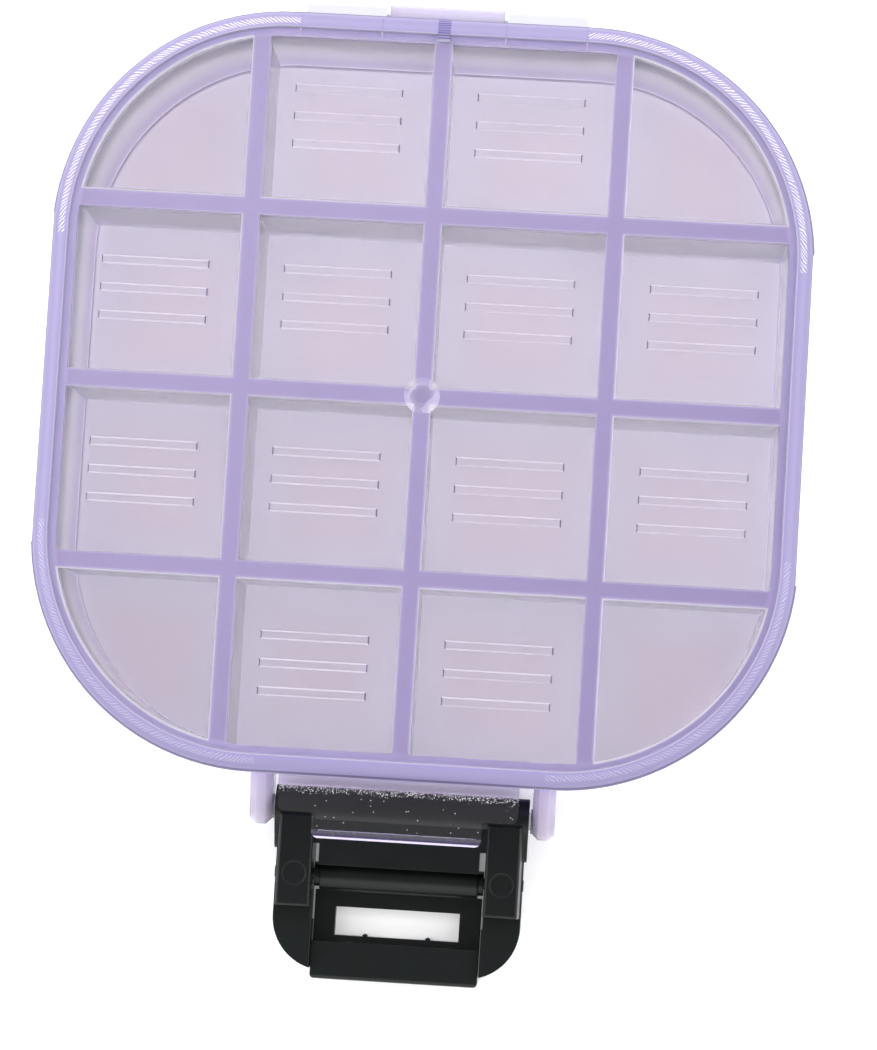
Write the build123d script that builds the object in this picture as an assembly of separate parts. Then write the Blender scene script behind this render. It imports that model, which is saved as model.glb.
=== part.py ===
from build123d import *

import math
import os

# Paint storage box: a flat square box with wide rounded corners and sixteen compartments.
# A clear lid turns on a rear hinge and carries a soft lattice seal that closes each
# compartment by itself. A black draw latch at the front has a swinging frame and a hook.
# It is drawn as it lies on a table: lid shut, latch swung out flat.
# Millimetres. X runs across the box, Y from the latch to the hinge, Z up.
# The origin is the centre of the underside.

# Outline, the same for lid and tray
box_width = 85.0  # outside of the lid, across and front to back
corner_share = 0.303  # radius of the four upright corners for each mm of width

# Tray
tray_height = 18.0  # top of its walls and dividers
neck_height = 4.2  # upper wall that goes up inside the lid's skirt
floor_thickness = 2.2
compartment_inset = 2.8  # from the outside of the lid to the compartments
shoulder_inset = 0.2  # from the outside of the lid to the tray's shoulder
tray_draft = 4.0  # degrees, outer wall
tray_foot_bevel = 1.2

# Compartments
compartments_per_side = 4
divider_thickness = 1.4
outer_compartment_trim = 0.16  # outer compartments this much narrower than the inner

# Lid
lid_plate = 1.8
lid_edge_radius = 2.0
skirt_thickness = 1.35
neck_gap = 0.3  # between the skirt and the tray's neck
seam_gap = 0.2  # between the skirt's lower edge and the tray's shoulder
finger_flat_length = 37.0  # shallow flat in the middle of each side
finger_flat_depth = 0.25

# Seal
seal_height = 2.25
seal_bar_width = 2.0
seal_ring_width = 1.25
seal_ring_inset = 1.65  # from the outside of the lid to the ring
seal_groove_depth = 0.6
seal_groove_fit = 0.03
seal_gap = 0.05  # between the seal's lip and the tray's rim
seal_lip_height = 0.6
seal_lip_step = 0.3

# Raised bars on top of the lid and the moulding gate at its centre
rib_length = 12.0
rib_width = 1.0
rib_height = 0.25
rib_spacing = 3.1
ribs_per_compartment = 3
rib_side_angle = 30.0  # degrees
gate_radius = 2.0
gate_depth = 0.5
gate_stub_radius = 0.6
gate_stub_height = 0.3

# Hinge
hinge_offset = 0.65  # axis behind the outside of the lid
hinge_rise = 0.1  # axis above the tray's shoulder
knuckle_radius = 1.85
hinge_half_length = 15.9
centre_knuckle_half = 6.5
knuckle_end_gap = 0.3
knuckle_relief = 0.3
hinge_leaf_rise = 2.9  # lid leaf above the axis
hinge_web_drop = 3.3  # tray web below the axis
hinge_pin_radius = 0.75
hinge_pin_end = 0.2  # pin end inside the knuckle's end
hinge_web_top_drop = 0.8  # top of the web's root below the axis

# Fits of the pins and roots of ears and knuckles
running_clearance = 0.05
held_clearance = 0.01
root_margin = 0.6  # how far a root stays outside the compartments

# Tongue at the front of the lid
tongue_drop = 2.1  # top of its bead below the lid's top
tongue_thickness = 1.8
tongue_side_inset = 0.8  # inside the arms' outer sides
tongue_step = 4.0  # full width out to here from the lid's outside
tongue_reach = 6.8
tongue_nose_gap = 0.4  # between the narrow nose and the latch arms
tongue_bead_height = 0.4
tongue_bead_width = 0.9
tongue_bead_edge = 0.18
tongue_bead_setback = 0.05
tongue_corner = 0.8

# Ears on the tray
latch_pivot_offset = 3.6  # frame axis in front of the lid's outside
ear_radius = 2.12
ear_thickness = 2.6
ear_gap = 0.35  # between an ear and the frame
ear_boss_radius = 1.4
ear_boss_height = 0.15
ear_root_drop = 2.6  # root below the frame's axis at the wall
ear_root_rise = 4.4
ear_edge_bevel = 0.75

# Latch frame
cheek_stand = 0.3  # cheeks beyond the arms' outer sides
frame_barrel_radius = 2.5
cheek_length = 4.7
arm_inner_half = 9.8
arm_outer_half = 14.1
arm_top_drop = 0.7  # top of the low end of an arm below the frame's axis
arm_setback = 1.0  # arm's end short of the hook's end
arm_outer_corner = 6.0
arm_bottom_run = 9.0  # where the underside of an arm becomes flat
arm_ledge_reach = 12.6  # from here on an arm stands closer to the hook
arm_ledge_gap = 0.12  # between that ledge and the hook's plate
pad_rise = 2.9  # top of a pad above the frame's axis
pad_start = 0.7
pad_side_lean = 0.4
pad_clearance = 0.95  # pad's end below the tongue when the latch is shut
pad_edge_radius = 0.3
pad_mark_radius = 1.35
pad_mark_depth = 0.12
web_reach = 6.3
web_root_reach = 3.9
web_top_rise = 2.2
web_thickness = 1.6
web_side_gap = 0.7
latch_pin_radius = 1.0
latch_pin_end = 0.1  # pin's end inside the ear's face

# Hook
hook_side_gap = 0.25  # between the hook's plate and each arm
hook_plate = 1.7
hook_pivot_reach = 7.4  # hook axis from the frame's axis
hook_pivot_drop = 1.6
hook_barrel_radius = 1.8
hook_barrel_gap = 0.8  # between the hook's barrel and each arm
hook_heel_angle = 50.0  # degrees below level, where the heel leaves the barrel
hook_collar_radius = 1.4
hook_collar_gap = 0.15
hook_pin_radius = 0.65
hook_pin_stand = 0.1  # pin's end beyond the arm's side
catch_gap = 0.3  # hook plate from the tongue's nose when shut
catch_swing_gap = 0.4  # lip from the tongue's corner as it swings past
lip_height = 4.3
lip_overlap = 1.9
lip_edge_radius = 0.5
window_width = 14.2
window_height = 3.25
window_margin = 0.7
nub_radius = 0.3
nub_spacing = 7.2

# Levels and places worked out from the sizes above
box_half = box_width / 2
box_corner = box_width * corner_share
compartments_span = box_width - 2 * compartment_inset + divider_thickness
compartment_pitch = (compartments_span + 2 * outer_compartment_trim) / compartments_per_side
frame_half_width = arm_outer_half + cheek_stand
tongue_half_width = arm_outer_half - tongue_side_inset
hook_half_width = arm_inner_half - hook_side_gap
hook_barrel_half = arm_inner_half - hook_barrel_gap
shoulder_z = tray_height - neck_height
skirt_bottom_z = shoulder_z + seam_gap
seal_bottom_z = tray_height + seal_gap
seal_top_z = seal_bottom_z + seal_height
lid_under_z = seal_top_z + seal_groove_fit - seal_groove_depth
lid_top_z = lid_under_z + lid_plate
neck_inset = skirt_thickness + neck_gap
root_y = box_half - compartment_inset + root_margin
hinge_y = box_half + hinge_offset
hinge_z = shoulder_z + hinge_rise
outer_knuckle_start = centre_knuckle_half + knuckle_end_gap
tongue_top_z = lid_top_z - tongue_drop
tongue_plate_top_z = tongue_top_z - tongue_bead_height
tongue_under_z = tongue_plate_top_z - tongue_thickness
tongue_nose_half = arm_inner_half - tongue_nose_gap
tongue_nose_out = tongue_reach - latch_pivot_offset
hook_inner_drop = tongue_nose_out + catch_gap
latch_drop = hook_inner_drop + hook_plate
latch_pivot_y = -(box_half + latch_pivot_offset)
latch_pivot_z = latch_drop
catch_height = tongue_top_z - latch_pivot_z
lip_start = math.hypot(catch_height, tongue_nose_out) + catch_swing_gap
hook_end = lip_start + lip_height
arm_end = hook_end - arm_setback
pad_end = tongue_under_z - latch_pivot_z - pad_clearance
window_end = lip_start - window_margin
window_start = window_end - window_height
hook_shelf = hook_pivot_reach + hook_barrel_radius
ear_inner_half = frame_half_width + ear_gap
ear_outer_half = ear_inner_half + ear_thickness
sides = (-1, 1)


def outline(inset):
    """Rounded square that follows the box's outline at an inset."""
    side = box_width - 2 * inset
    return RectangleRounded(side, side, box_corner - inset)


def slab(sketch, low, high):
    """Upright plate from a flat sketch, between two heights."""
    return extrude(Pos(0, 0, low) * sketch, high - low, dir=(0, 0, 1))


def bars(width, length):
    """Crossing bars, one over each divider of the tray."""
    first = -(compartments_per_side - 2) / 2
    places = [(first + i) * compartment_pitch for i in range(compartments_per_side - 1)]
    along = [Pos(0, y) * Rectangle(length, width) for y in places]
    across = [Pos(x, 0) * Rectangle(width, length) for x in places]
    return Sketch() + along + across


def lattice(inset, ring_width, bar_width):
    """Ring that follows the outline, joined to a bar over each divider."""
    ring = outline(inset) - outline(inset + ring_width)
    return ring + (bars(bar_width, box_width) & outline(inset + ring_width / 2))


def barrel(radius, half_length, y, z):
    """Cylinder along X, centred on the middle of the box."""
    return Pos(0, y, z) * Rot(0, 90, 0) * Cylinder(radius, 2 * half_length)


def side_plate(profile, low_x, high_x):
    """Plate whose outline is drawn in Y and Z, between two places in X."""
    return Pos(low_x, 0, 0) * extrude(Plane.YZ * profile, high_x - low_x, dir=(1, 0, 0))


def mirrored(solid):
    """The solid and its mirror image on the other side of the box."""
    return solid + mirror(solid, Plane.YZ)


def knuckle_profile(y, z, radius, wall_y, low_z, high_z):
    """Round eye joined to a wall by a web that runs off it at a tangent."""
    eye = Pos(y, z) * Circle(radius)
    root = Line((wall_y, low_z), (wall_y, high_z))
    return make_hull([*eye.edges(), root])


def latch_point(reach, rise):
    """Point of the open latch, measured out and up from the frame's axis."""
    return (latch_pivot_y - reach, latch_pivot_z + rise)


def make_ear():
    """Ear of the tray that holds one end of the latch's pin."""
    profile = knuckle_profile(
        latch_pivot_y,
        latch_pivot_z,
        ear_radius,
        -root_y,
        latch_pivot_z - ear_root_drop,
        latch_pivot_z + ear_root_rise,
    )
    plate = side_plate(profile, ear_inner_half, ear_outer_half)
    plate = chamfer(plate.edges().filter_by(GeomType.CIRCLE), ear_edge_bevel)
    boss = side_plate(
        Pos(latch_pivot_y, latch_pivot_z) * Circle(ear_boss_radius),
        ear_inner_half - ear_boss_height,
        ear_inner_half + ear_boss_height,
    )
    return plate + boss


def make_tray():
    """Tray with its compartments, latch ears and the middle knuckle of the hinge."""
    shoulder = Pos(0, 0, shoulder_z) * outline(shoulder_inset)
    body = extrude(shoulder, shoulder_z, dir=(0, 0, -1), taper=tray_draft)
    body = chamfer(body.faces().sort_by(Axis.Z)[0].edges(), tray_foot_bevel)
    body += slab(outline(neck_inset), shoulder_z - neck_height, tray_height)
    compartments = outline(compartment_inset) - bars(divider_thickness, box_width)
    body -= slab(compartments, floor_thickness, tray_height)
    knuckle = knuckle_profile(
        hinge_y,
        hinge_z,
        knuckle_radius,
        root_y,
        hinge_z - hinge_web_drop,
        hinge_z - hinge_web_top_drop,
    )
    body += side_plate(knuckle, -centre_knuckle_half, centre_knuckle_half)
    relief = side_plate(
        Pos(hinge_y, hinge_z) * Circle(knuckle_radius + knuckle_relief),
        centre_knuckle_half,
        hinge_half_length + knuckle_relief,
    )
    body -= mirrored(relief)
    body += mirrored(make_ear())
    body -= barrel(hinge_pin_radius + held_clearance, hinge_half_length, hinge_y, hinge_z)
    bore = latch_pin_radius + held_clearance
    body -= barrel(bore, ear_outer_half + ear_gap, latch_pivot_y, latch_pivot_z)
    return body


def make_tongue():
    """Catch plate at the front of the lid: full width, then a nose between the arms."""
    root = box_half - skirt_thickness / 2
    step = box_half + tongue_step
    tip = box_half + tongue_reach
    plan = Polygon(
        (tongue_half_width, -root),
        (tongue_half_width, -step),
        (tongue_nose_half, -step),
        (tongue_nose_half, -tip),
        (-tongue_nose_half, -tip),
        (-tongue_nose_half, -step),
        (-tongue_half_width, -step),
        (-tongue_half_width, -root),
        align=None,
    )
    outer_corners = [v for v in plan.vertices() if v.Y < -step + tongue_corner]
    outer_corners = [
        v
        for v in outer_corners
        if abs(abs(v.X) - tongue_nose_half) > 0.01 or abs(v.Y + tip) < 0.01
    ]
    plan = fillet(outer_corners, tongue_corner)
    plate = slab(plan, tongue_under_z, tongue_plate_top_z)
    bead_y = -tip + tongue_bead_setback + tongue_bead_width / 2
    bead = RectangleRounded(tongue_bead_width, 2 * tongue_bead_height, tongue_bead_edge)
    bead_half = tongue_nose_half - tongue_corner
    bead = side_plate(Pos(bead_y, tongue_plate_top_z) * bead, -bead_half, bead_half)
    return plate + bead


def make_lid_shell():
    """Plate and skirt of the lid, rounded on top, with a shallow flat on each side."""
    shell = slab(outline(0), skirt_bottom_z, lid_top_z)
    shell = fillet(shell.faces().sort_by(Axis.Z)[-1].edges(), lid_edge_radius)
    height = lid_top_z - skirt_bottom_z
    flat = Pos(0, skirt_bottom_z + height / 2) * Rectangle(finger_flat_length, 2 * height)
    flat_x = box_half - finger_flat_depth
    return shell - mirrored(side_plate(flat, flat_x, box_half + finger_flat_depth))


def make_leaf():
    """Outer knuckle of the hinge, on the lid's skirt."""
    profile = knuckle_profile(
        hinge_y,
        hinge_z,
        knuckle_radius,
        box_half - skirt_thickness / 2,
        skirt_bottom_z,
        hinge_z + hinge_leaf_rise,
    )
    return side_plate(profile, outer_knuckle_start, hinge_half_length)


def make_seal_groove():
    """Groove that holds the seal, a little wider than the seal itself."""
    groove = lattice(
        seal_ring_inset - seal_groove_fit,
        seal_ring_width + 2 * seal_groove_fit,
        seal_bar_width + 2 * seal_groove_fit,
    )
    return slab(groove, lid_under_z - seal_groove_depth, lid_under_z + seal_groove_depth)


def make_lid():
    """Clear lid: shell, seal groove, knuckles, tongue, raised bars and gate."""
    body = make_lid_shell() + mirrored(make_leaf()) + make_tongue()
    body -= slab(outline(skirt_thickness), skirt_bottom_z - lid_plate, lid_under_z)
    body -= make_seal_groove()
    notch = knuckle_radius + knuckle_relief
    body -= barrel(notch, outer_knuckle_start, hinge_y, hinge_z)
    bore = hinge_pin_radius + running_clearance
    body -= barrel(bore, hinge_half_length + knuckle_relief, hinge_y, hinge_z)
    body += make_ribs()
    ball = (gate_radius**2 + gate_depth**2) / (2 * gate_depth)
    body -= Pos(0, 0, lid_top_z - gate_depth + ball) * Sphere(ball)
    stub = Circle(gate_stub_radius)
    stub_low = lid_top_z - 1.5 * gate_depth
    return body + slab(stub, stub_low, lid_top_z - gate_depth + gate_stub_height)


def make_ribs():
    """Three raised bars over each compartment except the four corner ones."""
    rib = extrude(Rectangle(rib_length, rib_width), rib_height, taper=rib_side_angle)
    corner = (compartments_per_side - 1) / 2 * compartment_pitch
    count = compartments_per_side
    cells = GridLocations(compartment_pitch, compartment_pitch, count, count)
    centres = [cell.position for cell in cells]
    kept = [c for c in centres if min(abs(c.X), abs(c.Y)) < corner - compartment_pitch / 2]
    middle = (ribs_per_compartment - 1) / 2
    rows = [(i - middle) * rib_spacing for i in range(ribs_per_compartment)]
    return [Pos(c.X, c.Y + row, lid_top_z) * rib for c in kept for row in rows]


def make_seal():
    """Soft lattice under the lid, with a narrower lip that meets the tray's rim."""
    upper = lattice(seal_ring_inset, seal_ring_width, seal_bar_width)
    lower = lattice(
        seal_ring_inset + seal_lip_step,
        seal_ring_width - 2 * seal_lip_step,
        seal_bar_width - 2 * seal_lip_step,
    )
    lip_top_z = seal_bottom_z + seal_lip_height
    return slab(upper, lip_top_z, seal_top_z) + slab(lower, seal_bottom_z, lip_top_z)


def make_hinge_pin():
    """Plastic pin of the lid's hinge."""
    half_length = hinge_half_length - hinge_pin_end
    return barrel(hinge_pin_radius, half_length, hinge_y, hinge_z)


def make_arm():
    """Low end of one arm of the frame. Past its ledge it stands closer to the hook."""
    profile = Polygon(
        latch_point(0, -frame_barrel_radius),
        latch_point(arm_bottom_run, -latch_drop),
        latch_point(arm_end, -latch_drop),
        latch_point(arm_end, -arm_top_drop),
        latch_point(0, -arm_top_drop),
        align=None,
    )
    arm = side_plate(profile, arm_inner_half, arm_outer_half)
    ledge_length = arm_end - arm_ledge_reach
    ledge_height = latch_drop - arm_top_drop
    ledge_y = latch_pivot_y - arm_ledge_reach - ledge_length / 2
    ledge = Pos(ledge_y, ledge_height / 2) * Rectangle(ledge_length, ledge_height)
    arm += side_plate(ledge, hook_half_width + arm_ledge_gap, arm_outer_half)
    plan = Rectangle(2 * arm_outer_half, 2 * arm_end)
    plan = fillet(plan.vertices().group_by(Axis.Y)[0], arm_outer_corner)
    return arm & slab(Pos(0, latch_pivot_y) * plan, -latch_drop, 2 * latch_drop)


def make_pad():
    """Raised pad on top of an arm, with a round mark over the hook's pin."""
    low_z = latch_pivot_z - frame_barrel_radius
    top_z = latch_pivot_z + pad_rise
    section = Polygon(
        (arm_inner_half, low_z),
        (arm_outer_half, low_z),
        (arm_outer_half - pad_side_lean, top_z),
        (arm_inner_half, top_z),
        align=None,
    )
    pad = extrude(Plane.XZ * section, pad_end - pad_start, dir=(0, -1, 0))
    pad = Pos(0, latch_pivot_y - pad_start, 0) * pad
    pad = fillet(pad.faces().sort_by(Axis.Z)[-1].edges(), pad_edge_radius)
    mark_x = (arm_inner_half + arm_outer_half - pad_side_lean) / 2
    mark = Pos(mark_x, latch_pivot_y - hook_pivot_reach) * Circle(pad_mark_radius)
    return pad - slab(mark, top_z - pad_mark_depth, top_z + pad_mark_depth)


def make_cheek():
    """Round cheek of an arm, on the latch's pin."""
    eye = Pos(latch_pivot_y, latch_pivot_z) * Circle(frame_barrel_radius)
    toe_radius = frame_barrel_radius / 2
    toe = Pos(latch_point(cheek_length - toe_radius, -toe_radius)) * Circle(toe_radius)
    profile = make_hull([*eye.edges(), *toe.edges()])
    return side_plate(profile, arm_inner_half, frame_half_width)


def make_latch_frame():
    """Swinging frame: barrel, two arms with pads and cheeks, and the web between them."""
    frame = barrel(frame_barrel_radius, arm_inner_half, latch_pivot_y, latch_pivot_z)
    frame += mirrored(make_arm() + make_pad() + make_cheek())
    web_top_z = latch_pivot_z + web_top_rise
    root_half = (arm_inner_half + arm_outer_half) / 2
    root = Rectangle(2 * root_half, web_root_reach, align=(Align.CENTER, Align.MAX))
    free_half = arm_inner_half - web_side_gap
    free = Rectangle(2 * free_half, web_reach, align=(Align.CENTER, Align.MAX))
    web = Pos(0, latch_pivot_y) * (root + free)
    frame += slab(web, web_top_z - web_thickness, web_top_z)
    bore = latch_pin_radius + running_clearance
    frame -= barrel(bore, frame_half_width + ear_gap, latch_pivot_y, latch_pivot_z)
    hook_y, hook_z = latch_point(hook_pivot_reach, -hook_pivot_drop)
    frame -= barrel(hook_pin_radius + held_clearance, ear_outer_half, hook_y, hook_z)
    return frame


def make_heel():
    """Heel of the hook, its barrel, and a collar at each end of the barrel."""
    hook_y, hook_z = latch_point(hook_pivot_reach, -hook_pivot_drop)
    heel_turn = math.radians(hook_heel_angle)
    heel_start = (
        hook_pivot_reach - hook_barrel_radius * math.cos(heel_turn),
        -hook_pivot_drop - hook_barrel_radius * math.sin(heel_turn),
    )
    profile = Polygon(
        (hook_y, hook_z),
        latch_point(*heel_start),
        latch_point(hook_pivot_reach, -latch_drop),
        latch_point(hook_shelf + hook_plate, -latch_drop),
        latch_point(hook_shelf + hook_plate, -hook_inner_drop),
        latch_point(hook_shelf, -hook_inner_drop),
        latch_point(hook_shelf, -hook_pivot_drop),
        align=None,
    )
    heel = side_plate(profile, -hook_barrel_half, hook_barrel_half)
    heel += barrel(hook_barrel_radius, hook_barrel_half, hook_y, hook_z)
    collar_half = arm_inner_half - hook_collar_gap
    return heel + barrel(hook_collar_radius, collar_half, hook_y, hook_z)


def make_hook_plate():
    """Plate of the hook, with a window, two nubs in it and the lip at its end."""
    profile = Polygon(
        latch_point(hook_shelf, -latch_drop),
        latch_point(hook_end, -latch_drop),
        latch_point(hook_end, lip_overlap - hook_inner_drop),
        latch_point(lip_start, lip_overlap - hook_inner_drop),
        latch_point(lip_start, -hook_inner_drop),
        latch_point(hook_shelf, -hook_inner_drop),
        align=None,
    )
    plate = side_plate(profile, -hook_half_width, hook_half_width)
    plate = fillet(plate.faces().sort_by(Axis.Y)[0].edges(), lip_edge_radius)
    window_y = latch_pivot_y - (window_start + window_end) / 2
    window = Pos(0, window_y) * Rectangle(window_width, window_height)
    nub_y = latch_pivot_y - window_end
    nubs = [Pos(side * nub_spacing / 2, nub_y) * Circle(nub_radius) for side in sides]
    return plate - slab(window - nubs, -hook_plate, latch_drop)


def make_hook():
    """Hook that hangs between the arms of the frame."""
    hook_y, hook_z = latch_point(hook_pivot_reach, -hook_pivot_drop)
    bore = hook_pin_radius + running_clearance
    return make_heel() + make_hook_plate() - barrel(bore, ear_outer_half, hook_y, hook_z)


def make_hook_pin():
    """Dark steel pin that carries the hook in the frame's arms."""
    hook_y, hook_z = latch_point(hook_pivot_reach, -hook_pivot_drop)
    return barrel(hook_pin_radius, arm_outer_half + hook_pin_stand, hook_y, hook_z)


def make_latch_pin():
    """Plastic pin that carries the frame in the tray's ears."""
    half_length = ear_outer_half - latch_pin_end
    return barrel(latch_pin_radius, half_length, latch_pivot_y, latch_pivot_z)


pieces = {
    "tray": make_tray,
    "lid": make_lid,
    "lattice_seal": make_seal,
    "hinge_pin": make_hinge_pin,
    "latch_frame": make_latch_frame,
    "latch_hook": make_hook,
    "hook_pin": make_hook_pin,
    "latch_pin": make_latch_pin,
}

os.makedirs("parts", exist_ok=True)
for name, make in pieces.items():
    solid = make()
    print(name, "solids", len(solid.solids()), "volume", round(solid.volume, 1))
    export_step(solid, f"parts/{name}.step")
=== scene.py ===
import bpy
import math
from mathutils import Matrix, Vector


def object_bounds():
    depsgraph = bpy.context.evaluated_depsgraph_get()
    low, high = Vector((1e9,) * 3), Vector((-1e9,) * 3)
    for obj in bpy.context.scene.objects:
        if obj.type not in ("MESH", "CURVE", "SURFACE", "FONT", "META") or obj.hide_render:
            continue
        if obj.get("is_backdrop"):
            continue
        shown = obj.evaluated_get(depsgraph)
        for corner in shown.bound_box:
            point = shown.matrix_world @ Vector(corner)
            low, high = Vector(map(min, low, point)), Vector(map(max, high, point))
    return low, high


# Paint storage box with sixteen compartments: lilac tray, clear lid, soft seal, black draw latch.
# Metres, +Z up. The CAD nodes carry the shapes, this script gives them their finishes,
# the small moulded and worn details, the table, the light and the camera.

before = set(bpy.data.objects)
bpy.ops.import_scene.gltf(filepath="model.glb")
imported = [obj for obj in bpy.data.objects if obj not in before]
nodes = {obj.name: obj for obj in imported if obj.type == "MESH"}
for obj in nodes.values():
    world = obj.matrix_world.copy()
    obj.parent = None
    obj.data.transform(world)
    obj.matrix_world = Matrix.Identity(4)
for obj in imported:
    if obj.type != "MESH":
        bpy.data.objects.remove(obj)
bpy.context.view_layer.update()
mm = 0.001


def linear(hexColour):
    # sRGB hex to the linear values that the shaders want
    channels = [int(hexColour[i:i + 2], 16) / 255 for i in (0, 2, 4)]
    bent = [c / 12.92 if c <= 0.04045 else ((c + 0.055) / 1.055) ** 2.4 for c in channels]
    return (*bent, 1.0)


def newMaterial(name):
    material = bpy.data.materials.new(name)
    material.use_nodes = True
    tree = material.node_tree
    tree.nodes.clear()
    return material, tree


def addNode(tree, kind, settings=None, **links):
    # one node with its settings; a link is a value, a socket or a node, named by its socket or as i0, i1
    node = tree.nodes.new("ShaderNode" + kind)
    for key, value in (settings or {}).items():
        setattr(node, key, value)
    for key, value in links.items():
        numbered = key[0] == "i" and key[1:].isdigit()
        socket = node.inputs[int(key[1:]) if numbered else key.replace("_", " ")]
        if isinstance(value, bpy.types.Node):
            value = next(out for out in value.outputs if out.enabled)
        if isinstance(value, bpy.types.NodeSocket):
            tree.links.new(value, socket)
        else:
            socket.default_value = value
    return node


def placeInMillimetres(tree):
    # place on the piece as it lies at rest, whole and split in three
    place = addNode(tree, "VectorMath", {"operation": "SCALE"},
                    i0=addNode(tree, "TexCoord").outputs["Object"], Scale=1 / mm)
    split = addNode(tree, "SeparateXYZ", Vector=place.outputs["Vector"])
    return place.outputs["Vector"], split.outputs["X"], split.outputs["Y"], split.outputs["Z"]


def within(tree, *spans):
    # product of steps from 0 to 1; a span is a value and the two ends between which its step rises
    mask = None
    for value, (start, end) in spans:
        step = addNode(tree, "MapRange", Value=value, From_Min=start, From_Max=end)
        mask = addNode(tree, "Math", {"operation": "MULTIPLY"}, i0=mask, i1=step) if mask else step
    return mask


# The box's outline in plan, a square with round corners
outlineShape = {"halfSide": 42.5, "corner": 25.755}   # mm


def outlineDistance(tree, place, v):
    # 0 on the outline and below 0 inside it
    core = v["halfSide"] - v["corner"]
    size = addNode(tree, "VectorMath", {"operation": "ABSOLUTE"}, i0=place)
    flat = addNode(tree, "VectorMath", {"operation": "MULTIPLY"}, i0=size, i1=(1.0, 1.0, 0.0))
    past = addNode(tree, "VectorMath", {"operation": "SUBTRACT"}, i0=flat, i1=(core, core, 0.0))
    kept = addNode(tree, "VectorMath", {"operation": "MAXIMUM"}, i0=past, i1=(0.0, 0.0, 0.0))
    reach = addNode(tree, "VectorMath", {"operation": "LENGTH"}, i0=kept)
    return addNode(tree, "Math", {"operation": "SUBTRACT"}, i0=reach.outputs["Value"], i1=v["corner"])


pitch = 20.21   # mm, from one divider to the next


def dividerDistance(tree, x, y):
    # distance from the nearest line of dividers
    besideX = addNode(tree, "Math", {"operation": "PINGPONG"}, i0=x, i1=pitch / 2)
    besideY = addNode(tree, "Math", {"operation": "PINGPONG"}, i0=y, i1=pitch / 2)
    return addNode(tree, "Math", {"operation": "MINIMUM"}, i0=besideX, i1=besideY)


# Lid: crystal polystyrene, injection moulded in a polished tool.
# Clear and glossy, lilac where it stands round the tray, with painted highlight strokes on the tool marks
# round its corners and a painted dark line round the foot of its rounded edge; the raised bars have painted
# highlights on their flanks and painted shade on their ends, and the catch plate is frosted at its root.
lidFinish = {
    "colour": "FAF8FE",
    "ior": 1.55,
    "roughness": 0.03,
    "edgeRoughness": 0.4,          # the rounded edge is less polished
    "shine": 0.5,                  # specular level
    "rimShine": 0.05,              # the same on the painted dark line round the lid
    "top": 21.53,                  # mm, upper face of the lid
    "plateTop": 19.03,             # mm, upper face of the catch plate
    # each coat's tint, and how far it is from see-through
    "coats": {
        "skirt": ("988FBC", 0.6),
        "knuckle": ("B8B8C1", 0.85),
        "rim": ("665F80", 0.9),    # painted shade: a thin dark line on the lowest part of the rounded edge, seen from above
        "root": ("DAD0EA", 0.0),   # root of the catch plate, seen against the table
        "veil": ("7F76A6", 0.14),  # lilac cast towards the end of the catch plate
        "nose": ("E4DCF8", 0.7),   # end of the catch plate
        "flankHighlight": ("E6E2EE", 0.4),  # painted highlight on the long flanks of the raised bars
        "end": ("4D4668", 0.7),    # painted shade on the short ends of the raised bars
        "ladder": ("554A88", 0.8),
        # painted highlight strokes on the tool marks round the corners
        "markHighlight": ("F6F3FE", 0.5),
    },
    # where the coats fade in, mm from the outline
    "skirtInner": (-2.15, -1.85),
    "skirtOuter": (0.15, 0.05),
    "roughInner": (-2.3, -1.9),
    "rimInner": (-0.42, -0.28),
    # the same along y
    "knuckleFront": (42.45, 42.6),
    "rootRear": (-42.4, -42.6),
    "rootFront": (-44.0, -43.6),
    "veilRear": (-48.3, -48.9),
    "veilFront": (-51.0, -50.9),
    "noseRear": (-49.0, -49.12),
    # the same up z
    "rimFoot": (19.3, 19.6),
    "rimHead": (20.7, 20.5),
    "barFoot": 0.004,              # mm over the top, where the raised bars begin
    "barSteep": 0.4,               # part of the normal that makes a flank or an end
    # ladder of fine ridges in the rear rim, and fine lines that the tool's inserts leave beside it
    "rungStep": 0.29,              # mm
    "rungEdge": (0.1, 0.06),       # mm from the middle of a rung
    "rungGap": 0.45,               # strength between the rungs
    "ladderHalf": 0.72,            # mm, half its width
    "ladderFront": (39.5, 39.9),   # mm along y
    "ladderFoot": 19.0,            # mm up z
    "witness": (6.9, 15.95),       # mm from the middle
    "witnessEdge": (0.1, 0.04),    # mm from the middle of a line
    "witnessStrength": 0.3,
    # frost on the catch plate: dense at its root, a few loose grains further out
    "frostSize": 0.12,             # mm, drawn a little coarse so that each grain shows
    "frostGrain": 0.42,            # radius of a grain in its cell
    "frostFade": (-44.7, -43.5),   # mm along y
    "frostDense": (0.007, 0.7),    # share of the cells with a grain, at the two ends of the fade
    "frostRear": -43.4,            # mm along y
    "frostDepth": 0.05,            # mm under the plate's top
    "frostSolid": 0.7,
    # tool marks: fine painted highlight strokes that slant round the corners, on the upper part of the
    # rounded edge
    "markStep": 0.5,               # mm from one tool mark to the next
    "markEdge": (0.1, 0.05),       # mm from the middle of a stroke
    "markLean": 1.3,               # mm along for each mm out
    "markWander": 1.1,             # mm
    "wanderDetail": 0.9,           # waves to a mm
    "markInner": (-1.75, -1.55),   # mm from the outline
    "markOuter": (-0.85, -1.05),
    "markCorner": (15.9, 16.1),    # mm, the lesser of x and y
    "markFoot": 20.6,              # mm up z
    "markFrontRear": (-20.0, 20.0),    # mm along y
    "markFade": (0.35, 1.0),       # strength in front and behind
}


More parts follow.
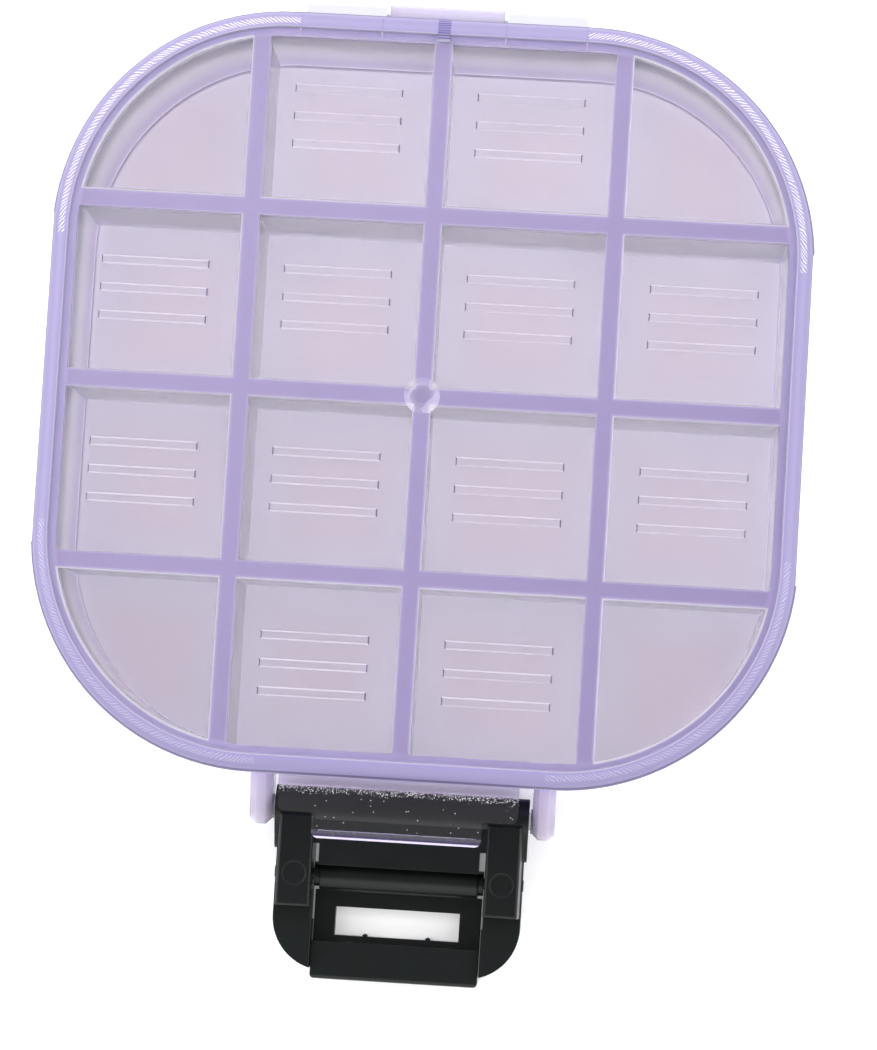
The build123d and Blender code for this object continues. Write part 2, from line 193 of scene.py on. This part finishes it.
def makeLidPlastic(v):
    material, tree = newMaterial("clearPolystyrene")
    place, x, y, z = placeInMillimetres(tree)
    away = outlineDistance(tree, place, outlineShape)
    sideways = addNode(tree, "Math", {"operation": "ABSOLUTE"}, i0=x)
    lengthways = addNode(tree, "Math", {"operation": "ABSOLUTE"}, i0=y)

    skirt = within(tree, (away, v["skirtInner"]), (away, v["skirtOuter"]))
    # painted shade: a dark line round the lowest part of the rounded edge
    rim = within(tree, (z, v["rimFoot"]), (z, v["rimHead"]), (away, v["rimInner"]), (away, v["skirtOuter"]))
    knuckle = within(tree, (y, v["knuckleFront"]))
    root = within(tree, (y, v["rootRear"]), (y, v["rootFront"]))
    veil = within(tree, (y, v["veilRear"]), (y, v["veilFront"]))
    nose = within(tree, (y, v["noseRear"]))

    # raised bars: painted highlight on the long flanks, painted shade on the ends
    facing = addNode(tree, "SeparateXYZ", Vector=addNode(tree, "TexCoord").outputs["Normal"])
    overTop = addNode(tree, "Math", {"operation": "GREATER_THAN"}, i0=z, i1=v["top"] + v["barFoot"])
    barSides = []
    for axis in ("Y", "X"):
        slope = addNode(tree, "Math", {"operation": "ABSOLUTE"}, i0=facing.outputs[axis])
        steep = addNode(tree, "Math", {"operation": "GREATER_THAN"}, i0=slope, i1=v["barSteep"])
        barSides.append(addNode(tree, "Math", {"operation": "MULTIPLY"}, i0=steep, i1=overTop))
    flankHighlight, end = barSides

    rung = addNode(tree, "Math", {"operation": "PINGPONG"}, i0=y, i1=v["rungStep"] / 2)
    ridges = addNode(tree, "MapRange", Value=within(tree, (rung, v["rungEdge"])), To_Min=v["rungGap"])
    nearMiddle = addNode(tree, "Math", {"operation": "LESS_THAN"}, i0=sideways, i1=v["ladderHalf"])
    ladder = addNode(tree, "Math", {"operation": "MULTIPLY"}, i0=ridges, i1=nearMiddle)
    for line in v["witness"]:
        beside = addNode(tree, "Math", {"operation": "SUBTRACT"}, i0=sideways, i1=line)
        beside = addNode(tree, "Math", {"operation": "ABSOLUTE"}, i0=beside)
        thin = addNode(tree, "MapRange", Value=beside, From_Min=v["witnessEdge"][0],
                       From_Max=v["witnessEdge"][1], To_Max=v["witnessStrength"])
        ladder = addNode(tree, "Math", {"operation": "MAXIMUM"}, i0=ladder, i1=thin)
    overFoot = addNode(tree, "Math", {"operation": "GREATER_THAN"}, i0=z, i1=v["ladderFoot"])
    for mask in (within(tree, (y, v["ladderFront"])), overFoot):
        ladder = addNode(tree, "Math", {"operation": "MULTIPLY"}, i0=ladder, i1=mask)

    grain = addNode(tree, "TexVoronoi", Vector=place, Scale=1 / v["frostSize"])
    chance = addNode(tree, "SeparateXYZ", Vector=grain.outputs["Color"])
    dense = addNode(tree, "MapRange", {"interpolation_type": "SMOOTHERSTEP"}, Value=y,
                    From_Min=v["frostFade"][0], From_Max=v["frostFade"][1],
                    To_Min=v["frostDense"][0], To_Max=v["frostDense"][1])
    frost = addNode(tree, "Math", {"operation": "LESS_THAN"}, i0=chance.outputs["X"], i1=dense)
    inGrain = addNode(tree, "Math", {"operation": "LESS_THAN"}, i0=grain.outputs["Distance"],
                      i1=v["frostGrain"])
    onPlate = addNode(tree, "Math", {"operation": "LESS_THAN"}, i0=y, i1=v["frostRear"])
    onTop = addNode(tree, "Math", {"operation": "GREATER_THAN"}, i0=z, i1=v["plateTop"] - v["frostDepth"])
    for mask in (inGrain, onPlate, onTop):
        frost = addNode(tree, "Math", {"operation": "MULTIPLY"}, i0=frost, i1=mask)

    # painted highlight strokes along the tool marks round the corners, fading towards the front
    core = outlineShape["halfSide"] - outlineShape["corner"]
    overX = addNode(tree, "Math", {"operation": "SUBTRACT"}, i0=sideways, i1=core)
    overY = addNode(tree, "Math", {"operation": "SUBTRACT"}, i0=lengthways, i1=core)
    turned = addNode(tree, "Math", {"operation": "ARCTAN2"}, i0=overY, i1=overX)
    along = addNode(tree, "Math", {"operation": "MULTIPLY"}, i0=turned, i1=outlineShape["corner"])
    slant = addNode(tree, "Math", {"operation": "MULTIPLY_ADD"}, i0=away, i1=v["markLean"], i2=along)
    wander = addNode(tree, "TexNoise", Vector=place, Scale=v["wanderDetail"], Detail=2.0)
    slant = addNode(tree, "Math", {"operation": "MULTIPLY_ADD"}, i0=wander, i1=v["markWander"], i2=slant)
    stroke = addNode(tree, "Math", {"operation": "PINGPONG"}, i0=slant, i1=v["markStep"] / 2)
    diagonal = addNode(tree, "Math", {"operation": "MINIMUM"}, i0=sideways, i1=lengthways)
    markHighlight = within(tree, (stroke, v["markEdge"]), (diagonal, v["markCorner"]), (away, v["markInner"]),
                  (away, v["markOuter"]))
    overFoot = addNode(tree, "Math", {"operation": "GREATER_THAN"}, i0=z, i1=v["markFoot"])
    towardsRear = addNode(tree, "MapRange", Value=y, From_Min=v["markFrontRear"][0],
                          From_Max=v["markFrontRear"][1], To_Min=v["markFade"][0], To_Max=v["markFade"][1])
    for mask in (overFoot, towardsRear):
        markHighlight = addNode(tree, "Math", {"operation": "MULTIPLY"}, i0=markHighlight, i1=mask)

    # the coats over the clear plastic, and what they leave see-through
    masks = {"skirt": skirt, "knuckle": knuckle, "rim": rim, "root": root, "veil": veil, "nose": nose,
             "flankHighlight": flankHighlight, "end": end, "ladder": ladder, "markHighlight": markHighlight}
    tint = linear(v["colour"])
    solid = addNode(tree, "Math", {"operation": "MULTIPLY"}, i0=frost, i1=v["frostSolid"])
    for name, (colour, share) in v["coats"].items():
        tint = addNode(tree, "Mix", {"data_type": "RGBA"}, i0=masks[name], i6=tint, i7=linear(colour))
        part = addNode(tree, "Math", {"operation": "MULTIPLY"}, i0=masks[name], i1=share)
        solid = addNode(tree, "Math", {"operation": "MAXIMUM"}, i0=solid, i1=part)
    clear = addNode(tree, "Math", {"operation": "SUBTRACT"}, i0=1.0, i1=solid)

    overEdge = within(tree, (away, v["roughInner"]), (away, v["skirtOuter"]))
    rough = addNode(tree, "MapRange", Value=overEdge, To_Min=v["roughness"], To_Max=v["edgeRoughness"])
    shine = addNode(tree, "MapRange", Value=rim, To_Min=v["shine"], To_Max=v["rimShine"])
    shader = addNode(tree, "BsdfPrincipled", Base_Color=tint, IOR=v["ior"], Roughness=rough,
                     Specular_IOR_Level=shine, Transmission_Weight=clear)
    addNode(tree, "OutputMaterial", Surface=shader)
    return material


# Tray: lilac tinted polypropylene, injection moulded.
# Milky, so light spreads inside it and the walls glow; painted shade makes each floor pinker in its middle,
# painted light makes it bluer by the walls and lighter up the walls, and it is deepest outside, where the
# wall is seen through the lid's skirt.
trayFinish = {
    "middle": "F3EBF4",            # painted shade: pinker and darker in the middle of each floor
    "floor": "F3EFFA",             # floor by the walls, paler and bluer there as painted light
    "foot": "F0EDF7",              # where the walls curve into the floor, a little darker as painted shade
    # painted light: the walls near white above their foot
    "wall": "FBFAFD",
    # painted light on the upper part of the outer walls
    "outerWall": "FCFBFE",
    "outerFootShade": "D6D0E2",         # painted shade on the lower part of the outer walls
    "rim": "CFC6EE",
    "outside": "B5ABD8",
    "ear": "BDB4CC",
    "knuckle": "AAA4BA",
    "ior": 1.3,                    # under the plastic's 1.49, which would blacken the walls at their foot
    "roughness": 0.22,
    "wallRoughness": 0.12,
    "spread": 5.0,                 # mm that light travels inside the plastic
    "floorSeeThrough": 0.72,
    "wallSeeThrough": 0.5,
    "outerWallSeeThrough": 0.15,   # lets the light in from the side
    "shoulderSeeThrough": 0.2,
    "lugSeeThrough": 0.2,          # ears and knuckle
    "cloudSize": 14.0,             # mm, slow unevenness of the tint
    "cloudShade": (0.96, 1.03),
    "cloudDrift": 6.0,             # mm that the cloud moves the edge of the pink
    "middleEdge": (3.5, 10.0),     # mm from the dividers
    # where each part fades in, mm up z
    "footStart": (2.25, 2.5),
    "wallStart": (4.5, 8.0),
    "outerWallStart": (5.0, 13.0),
    "shoulderStart": (11.5, 13.5),
    "rimStart": (17.2, 17.9),
    "clearStart": (2.2, 2.4),
    "smoothStart": (2.2, 2.6),
    # the same from the outline
    "outerWallEdge": (-2.9, -2.82),
    "outsideEdge": (-2.76, -2.66),
    # the same along y
    "earStart": (-42.3, -42.8),
    "knuckleStart": (42.1, 42.5),
}


def makeTrayPlastic(v):
    material, tree = newMaterial("tintedPolypropylene")
    place, x, y, z = placeInMillimetres(tree)
    away = outlineDistance(tree, place, outlineShape)
    beside = dividerDistance(tree, x, y)
    soft = {"interpolation_type": "SMOOTHSTEP"}

    cloud = addNode(tree, "TexNoise", Vector=place, Scale=1 / v["cloudSize"], Detail=1.0)
    drift = addNode(tree, "Math", {"operation": "MULTIPLY_ADD"}, i0=cloud, i1=v["cloudDrift"], i2=beside)
    # painted shade: each floor pinker and darker in its middle, paler by the dividers
    middle = addNode(tree, "MapRange", soft, Value=drift, From_Min=v["middleEdge"][0],
                     From_Max=v["middleEdge"][1])
    foot = within(tree, (z, v["footStart"]))
    # painted light: the walls lighter going up from their foot
    wall = addNode(tree, "MapRange", soft, Value=z, From_Min=v["wallStart"][0], From_Max=v["wallStart"][1])
    high = addNode(tree, "MapRange", soft, Value=z, From_Min=v["shoulderStart"][0],
                   From_Max=v["shoulderStart"][1])
    rim = within(tree, (z, v["rimStart"]))
    outerWall = within(tree, (away, v["outerWallEdge"]))
    overFloor = addNode(tree, "Math", {"operation": "MULTIPLY"}, i0=outerWall, i1=foot)
    outer = within(tree, (away, v["outsideEdge"]))
    shoulder = addNode(tree, "Math", {"operation": "MULTIPLY"}, i0=outer, i1=high)
    ears = within(tree, (y, v["earStart"]))
    knuckle = within(tree, (y, v["knuckleStart"]))

    # painted light and shade: the outer walls lighter towards the top, darker at their foot
    litTowardsTop = within(tree, (z, v["outerWallStart"]))
    outerLitAndShaded = addNode(tree, "Mix", {"data_type": "RGBA"}, i0=litTowardsTop, i6=linear(v["outerFootShade"]),
                        i7=linear(v["outerWall"]))
    tint = linear(v["floor"])
    for mask, colour in ((middle, linear(v["middle"])), (foot, linear(v["foot"])),
                         (wall, linear(v["wall"])), (rim, linear(v["rim"])),
                         (overFloor, outerLitAndShaded), (outer, linear(v["outside"])),
                         (ears, linear(v["ear"])), (knuckle, linear(v["knuckle"]))):
        tint = addNode(tree, "Mix", {"data_type": "RGBA"}, i0=mask, i6=tint, i7=colour)
    shade = addNode(tree, "MapRange", Value=cloud, To_Min=v["cloudShade"][0], To_Max=v["cloudShade"][1])
    tint = addNode(tree, "Mix", {"data_type": "RGBA", "blend_type": "MULTIPLY"}, i0=1.0, i6=tint, i7=shade)

    clear = addNode(tree, "MapRange", Value=z, From_Min=v["clearStart"][0], From_Max=v["clearStart"][1],
                    To_Min=v["floorSeeThrough"], To_Max=v["wallSeeThrough"])
    lugs = addNode(tree, "Math", {"operation": "MAXIMUM"}, i0=knuckle, i1=ears)
    for mask, name in ((outerWall, "outerWallSeeThrough"), (shoulder, "shoulderSeeThrough"),
                       (lugs, "lugSeeThrough")):
        clear = addNode(tree, "Mix", {"data_type": "FLOAT"}, i0=mask, i2=clear, i3=v[name])
    rough = addNode(tree, "MapRange", Value=z, From_Min=v["smoothStart"][0], From_Max=v["smoothStart"][1],
                    To_Min=v["roughness"], To_Max=v["wallRoughness"])
    shader = addNode(tree, "BsdfPrincipled", Base_Color=tint, IOR=v["ior"], Roughness=rough,
                     Transmission_Weight=clear, Subsurface_Weight=1.0, Subsurface_Radius=(1.0, 1.0, 1.0),
                     Subsurface_Scale=v["spread"] * mm)
    addNode(tree, "OutputMaterial", Surface=shader)
    return material


# Seal: translucent lilac silicone, compression moulded.
# Satin and slightly waxy, with a painted highlight along the edges of its bars, a painted highlight line
# where the ring ends, and painted shade towards the front right.
sealFinish = {
    "colour": "C6BBE3",
    "streak": "C8BCE2",
    "ring": "D9D0F6",
    "frontRightShade": "E6E1EC",              # painted shade, multiplies the colour at the front right
    # painted highlight along the edges of the bars
    "edge": "D2C8EA",
    # painted highlight: a white line where the ring ends
    "line": "FDFCFF",
    "ior": 1.41,
    "roughness": 0.4,
    "seeThrough": 0.12,
    "streakSize": 3.0,             # mm
    "ringInner": (-3.2, -2.8),     # mm from the outline
    "lineOuter": (-2.62, -2.7),
    "barEdge": (0.7, 0.85),        # mm from the middle of a bar
    "barSide": (0.9, 1.0),
    "shadeDirection": (0.5, -0.5, 0.0),     # from the rear left corner to the front right one
    "shadeEnds": (-25.0, 35.0),     # mm along it
}


def makeSealRubber(v):
    material, tree = newMaterial("lilacSilicone")
    place, x, y, _ = placeInMillimetres(tree)
    away = outlineDistance(tree, place, outlineShape)
    beside = dividerDistance(tree, x, y)
    streak = addNode(tree, "TexNoise", Vector=place, Scale=1 / v["streakSize"], Detail=2.0)
    ring = within(tree, (away, v["ringInner"]))
    tint = linear(v["colour"])
    for mask, name in ((streak, "streak"), (ring, "ring")):
        tint = addNode(tree, "Mix", {"data_type": "RGBA"}, i0=mask, i6=tint, i7=linear(v[name]))
    # painted shade, darker towards the front right
    across = addNode(tree, "VectorMath", {"operation": "DOT_PRODUCT"}, i0=place, i1=v["shadeDirection"])
    frontRightShade = within(tree, (across.outputs["Value"], v["shadeEnds"]))
    tint = addNode(tree, "Mix", {"data_type": "RGBA", "blend_type": "MULTIPLY"}, i0=frontRightShade, i6=tint,
                   i7=linear(v["frontRightShade"]))
    insideRing = addNode(tree, "Math", {"operation": "SUBTRACT"}, i0=1.0, i1=ring)
    # painted highlight along the edges of the bars
    edgeHighlight = within(tree, (beside, v["barEdge"]))
    edge = addNode(tree, "Math", {"operation": "MULTIPLY"}, i0=edgeHighlight, i1=insideRing)
    # painted highlight line where the ring ends
    line = within(tree, (beside, v["barSide"]), (away, v["lineOuter"]))
    for mask, name in ((edge, "edge"), (line, "line")):
        tint = addNode(tree, "Mix", {"data_type": "RGBA"}, i0=mask, i6=tint, i7=linear(v[name]))
    shader = addNode(tree, "BsdfPrincipled", Base_Color=tint, IOR=v["ior"], Roughness=v["roughness"],
                     Transmission_Weight=v["seeThrough"])
    addNode(tree, "OutputMaterial", Surface=shader)
    return material


# Latch: black polypropylene, injection moulded in a lightly textured tool.
# Near black with a green cast, satin, its edges catch a thin grey line.
latchFinish = {
    "colour": "0A0D0D",
    "worn": "111515",
    "wornSize": 3.0,               # mm, size of the worn patches
    "roughness": 0.3,
    "sheen": 0.28,                 # a little less than full gloss off the flat faces
    "grain": 0.25,                 # mm, spark eroded texture
    "grainDepth": 0.02,            # mm
    "grainStrength": 0.25,
    "edgeRadius": 0.18,            # mm, softening of every edge
    "markHighlight": "1A1F1E",              # rim of the round mark on each pad: the mark is moulded, its lighter rim is painted highlight
    "markAt": (11.75, -53.5),      # mm, over the hook's pin
    "markRadius": 1.3,             # mm
    "markEdge": (0.16, 0.06),      # mm from the rim's middle
    "padTop": 7.5,                 # mm up z, under the pads' upper faces
}


def makeLatchPlastic(v):
    material, tree = newMaterial("blackPolypropylene")
    place, x, y, z = placeInMillimetres(tree)
    grain = addNode(tree, "TexNoise", Vector=place, Scale=1 / v["grain"], Detail=3.0)
    edge = addNode(tree, "Bevel", {"samples": 4}, Radius=v["edgeRadius"] * mm)
    bump = addNode(tree, "Bump", Height=grain.outputs["Fac"], Strength=v["grainStrength"],
                   Distance=v["grainDepth"] * mm, Normal=edge)
    cloud = addNode(tree, "TexNoise", Vector=place, Scale=1 / v["wornSize"], Detail=3.0)
    sideways = addNode(tree, "Math", {"operation": "ABSOLUTE"}, i0=x)
    flat = addNode(tree, "CombineXYZ", X=sideways, Y=y)
    fromMark = addNode(tree, "VectorMath", {"operation": "DISTANCE"}, i0=flat, i1=(*v["markAt"], 0.0))
    offRing = addNode(tree, "Math", {"operation": "SUBTRACT"}, i0=fromMark.outputs["Value"],
                      i1=v["markRadius"])
    offRing = addNode(tree, "Math", {"operation": "ABSOLUTE"}, i0=offRing)
    onPad = addNode(tree, "Math", {"operation": "GREATER_THAN"}, i0=z, i1=v["padTop"])
    # painted highlight on the rim of the round mark
    ring = within(tree, (offRing, v["markEdge"]))
    ring = addNode(tree, "Math", {"operation": "MULTIPLY"}, i0=ring, i1=onPad)
    tint = linear(v["colour"])
    for mask, name in ((cloud, "worn"), (ring, "markHighlight")):
        tint = addNode(tree, "Mix", {"data_type": "RGBA"}, i0=mask, i6=tint, i7=linear(v[name]))
    shader = addNode(tree, "BsdfPrincipled", Base_Color=tint, Roughness=v["roughness"],
                     Specular_IOR_Level=v["sheen"], Normal=bump)
    addNode(tree, "OutputMaterial", Surface=shader)
    return material


# Hinge and latch pins: natural nylon, extruded rod cut to length.
# Milky white and half see-through, so the pin hardly shows inside the clear knuckles.
pinFinish = {
    "colour": "F1EFF6",
    "ior": 1.53,
    "roughness": (0.18, 0.3),
    "unevenSize": 0.6,             # mm
    "seeThrough": 0.85,
}


def makePinPlastic(v):
    material, tree = newMaterial("naturalNylon")
    place = placeInMillimetres(tree)[0]
    uneven = addNode(tree, "TexNoise", Vector=place, Scale=1 / v["unevenSize"], Detail=1.0)
    rough = addNode(tree, "MapRange", Value=uneven, To_Min=v["roughness"][0], To_Max=v["roughness"][1])
    shader = addNode(tree, "BsdfPrincipled", Base_Color=linear(v["colour"]), IOR=v["ior"], Roughness=rough,
                     Transmission_Weight=v["seeThrough"])
    addNode(tree, "OutputMaterial", Surface=shader)
    return material


# Hook pin: blackened steel wire, drawn and cut.
# Dark grey with a dull shine, fine draw marks along it.
steelFinish = {
    "colour": "5A5C60",
    "roughness": (0.3, 0.5),
    "drawMark": 0.3,               # mm
}


def makeHookSteel(v):
    material, tree = newMaterial("blackenedSteel")
    place = placeInMillimetres(tree)[0]
    drawn = addNode(tree, "TexNoise", Vector=place, Scale=1 / v["drawMark"], Detail=2.0)
    rough = addNode(tree, "MapRange", Value=drawn, To_Min=v["roughness"][0], To_Max=v["roughness"][1])
    shader = addNode(tree, "BsdfPrincipled", Base_Color=linear(v["colour"]), Metallic=1.0, Roughness=rough)
    addNode(tree, "OutputMaterial", Surface=shader)
    return material


finishes = {
    "tray": makeTrayPlastic(trayFinish),
    "lid": makeLidPlastic(lidFinish),
    "lattice_seal": makeSealRubber(sealFinish),
    "hinge_pin": makePinPlastic(pinFinish),
    "latch_frame": makeLatchPlastic(latchFinish),
    "hook_pin": makeHookSteel(steelFinish),
}
finishes["latch_hook"] = finishes["latch_frame"]
finishes["latch_pin"] = finishes["hinge_pin"]
for name, node in nodes.items():
    node.data.materials.clear()
    node.data.materials.append(finishes[name])
print("finishes on", len(nodes), "pieces")

# Table: white board with a light pad let into it under the box, a little brighter at the box's rear
table = {
    "halfSize": 1.5,               # m
    "drop": 0.1,                   # mm under the box
    "board": "F2F2F2",
    "fleck": "F4F4F4",
    "fleckSize": 25.0,             # mm
    "roughness": 0.8,
    "glowFront": 0.57,             # front of the pad
    "glowRear": 0.78,              # rear of the pad
    "glowAround": 0.2,             # board outside the pad
    "glowReach": 60.0,             # mm from the box's middle to where the glow stops changing
    "glowLean": 0.15,              # how much the right counts as the rear
    "padEdge": (2.0, -2.0),        # mm from the box's outline
}
half = table["halfSize"]
floorMesh = bpy.data.meshes.new("tableTop")
corners = [(-half, -half, 0), (half, -half, 0), (half, half, 0), (-half, half, 0)]
floorMesh.from_pydata(corners, [], [(0, 1, 2, 3)])
floor = bpy.data.objects.new("tableTop", floorMesh)
floor.location.z = -table["drop"] * mm
bpy.context.scene.collection.objects.link(floor)
board, tree = newMaterial("whiteBoard")
place, x, y, _ = placeInMillimetres(tree)
fleck = addNode(tree, "TexNoise", Vector=place, Scale=1 / table["fleckSize"], Detail=2.0)
tint = addNode(tree, "Mix", {"data_type": "RGBA"}, i0=fleck, i6=linear(table["board"]),
               i7=linear(table["fleck"]))
across = addNode(tree, "Math", {"operation": "MULTIPLY_ADD"}, i0=x, i1=table["glowLean"], i2=y)
padGlow = addNode(tree, "MapRange", {"interpolation_type": "SMOOTHSTEP"}, Value=across,
                  From_Min=-table["glowReach"], From_Max=table["glowReach"],
                  To_Min=table["glowFront"], To_Max=table["glowRear"])
pad = addNode(tree, "MapRange", {"interpolation_type": "SMOOTHSTEP"},
              Value=outlineDistance(tree, place, outlineShape),
              From_Min=table["padEdge"][0], From_Max=table["padEdge"][1])
glow = addNode(tree, "Mix", {"data_type": "FLOAT"}, i0=pad, i2=table["glowAround"], i3=padGlow)
shader = addNode(tree, "BsdfPrincipled", Base_Color=tint, Roughness=table["roughness"],
                 Emission_Color=(1, 1, 1, 1), Emission_Strength=glow)
addNode(tree, "OutputMaterial", Surface=shader)
floorMesh.materials.append(board)
floor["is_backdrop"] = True
print("table laid")

# Light: a bright room with a dim patch of ceiling over the camera, and two long soft boxes behind the box
light = {
    "horizon": 0.95,
    "walls": 2.0,
    "ceiling": 0.3,
    "wallsFrom": (0.1, 0.45),      # height of the line of sight, 1 is straight up
    "ceilingFrom": (0.78, 0.97),
    "boxes": [
        {"name": "softBoxLeft", "at": (-0.45, 0.35, 0.50), "long": 1.0, "wide": 0.5, "power": 4.5},
        {"name": "softBoxRight", "at": (0.50, 0.30, 0.45), "long": 0.8, "wide": 0.45, "power": 2.4},
    ],
}
world = bpy.data.worlds.new("room")
world.use_nodes = True
tree = world.node_tree
tree.nodes.clear()
facing = addNode(tree, "TexCoord").outputs["Generated"]
up = addNode(tree, "SeparateXYZ", Vector=facing).outputs["Z"]
low = addNode(tree, "MapRange", {"interpolation_type": "SMOOTHSTEP"}, Value=up,
              From_Min=light["wallsFrom"][0], From_Max=light["wallsFrom"][1],
              To_Min=light["horizon"], To_Max=light["walls"])
high = addNode(tree, "MapRange", {"interpolation_type": "SMOOTHSTEP"}, Value=up,
               From_Min=light["ceilingFrom"][0], From_Max=light["ceilingFrom"][1])
glow = addNode(tree, "Mix", {"data_type": "FLOAT"}, i0=high, i2=low, i3=light["ceiling"])
room = addNode(tree, "Background", Color=(1, 1, 1, 1), Strength=glow)
addNode(tree, "OutputWorld", Surface=room)
bpy.context.scene.world = world
for box in light["boxes"]:
    lamp = bpy.data.lights.new(box["name"], "AREA")
    lamp.shape = "RECTANGLE"
    lamp.size = box["long"]
    lamp.size_y = box["wide"]
    lamp.energy = box["power"]
    holder = bpy.data.objects.new(box["name"], lamp)
    bpy.context.scene.collection.objects.link(holder)
    holder.location = box["at"]
    holder.rotation_euler = (-holder.location).to_track_quat("-Z", "Y").to_euler()
bpy.context.scene.view_settings.view_transform = "Standard"
print("light set")

# Camera: above the lid, leaning a little towards the latch, box turned clockwise in the picture
shot = {
    "at": (0.01850, -0.04456, 0.4448),
    "turn": (4.226, 1.885, 3.492),   # degrees about X, Y, Z
    "lens": 132.24,                  # mm on the sensor
    "sensor": 36.0,                  # mm, long side
    "nearest": 0.01,                 # m
}
camera = bpy.data.cameras.new("camera")
camera.lens = shot["lens"]
camera.sensor_width = shot["sensor"]
camera.clip_start = shot["nearest"]
eye = bpy.data.objects.new("camera", camera)
eye.location = shot["at"]
eye.rotation_euler = [math.radians(a) for a in shot["turn"]]
bpy.context.scene.collection.objects.link(eye)
bpy.context.scene.camera = eye
print("camera set")

low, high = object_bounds()
